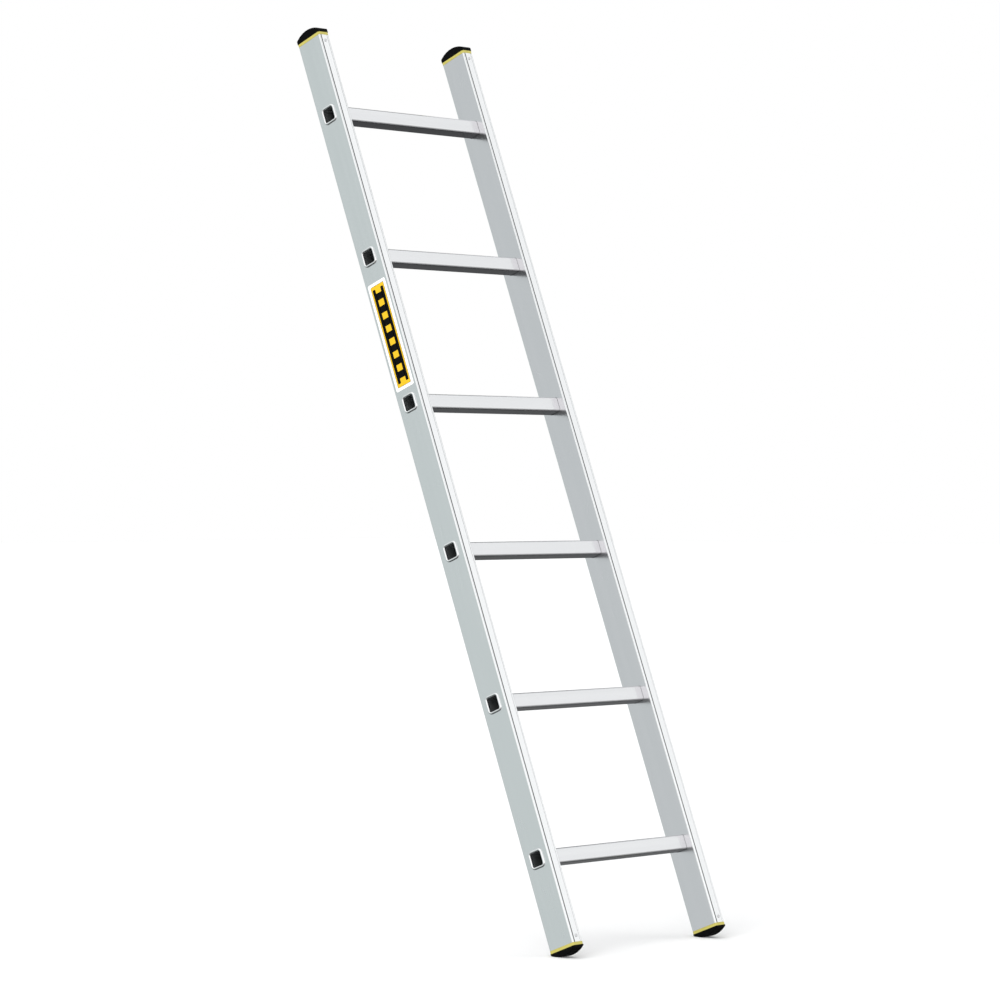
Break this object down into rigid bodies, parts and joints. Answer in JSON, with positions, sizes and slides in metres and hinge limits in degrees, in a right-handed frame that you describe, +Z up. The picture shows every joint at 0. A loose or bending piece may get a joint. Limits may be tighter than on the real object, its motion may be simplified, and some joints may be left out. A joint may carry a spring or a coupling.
{
  "type": "single-section leaning ladder",
  "caption": "Aluminium leaning ladder with box-section stiles, square rungs whose ends are rolled over outside the stiles, and domed rubber end caps.",
  "frame": {"origin": "on the floor, on the ladder's middle plane, half way in depth between the foot end and the top end of the leaning ladder", "axes": "+X along the rungs towards the climber's right, +Y horizontal towards the wall the ladder leans on, +Z up; the stiles lean 21.2 degrees from +Z towards +Y"},
  "size_m": [0.4048, 0.6766, 1.6287],
  "materials": {
    "stile_aluminium": "bright extruded, faint lengthwise lines",
    "rung_aluminium": "bright extruded",
    "end_plug_yellow": "moulded, yellow",
    "sole_rubber": "black, fine moulded texture",
    "rivet_aluminium": "plain",
    "label_film": "printed film, amber panel on white"
  },
  "bodies": {
    "root": {"stile_left": "stile_aluminium", "stile_right": "stile_aluminium", "rung_1": "rung_aluminium", "rung_2": "rung_aluminium", "rung_3": "rung_aluminium", "rung_4": "rung_aluminium", "rung_5": "rung_aluminium", "rung_6": "rung_aluminium", "foot_plug_left": "end_plug_yellow", "foot_sole_left": "sole_rubber", "foot_rivet_left": "rivet_aluminium", "top_plug_left": "end_plug_yellow", "top_cap_left": "sole_rubber", "top_rivet_left": "rivet_aluminium", "foot_plug_right": "end_plug_yellow", "foot_sole_right": "sole_rubber", "foot_rivet_right": "rivet_aluminium", "top_plug_right": "end_plug_yellow", "top_cap_right": "sole_rubber", "top_rivet_right": "rivet_aluminium", "side_label": "label_film"}
  },
  "joints": []
}
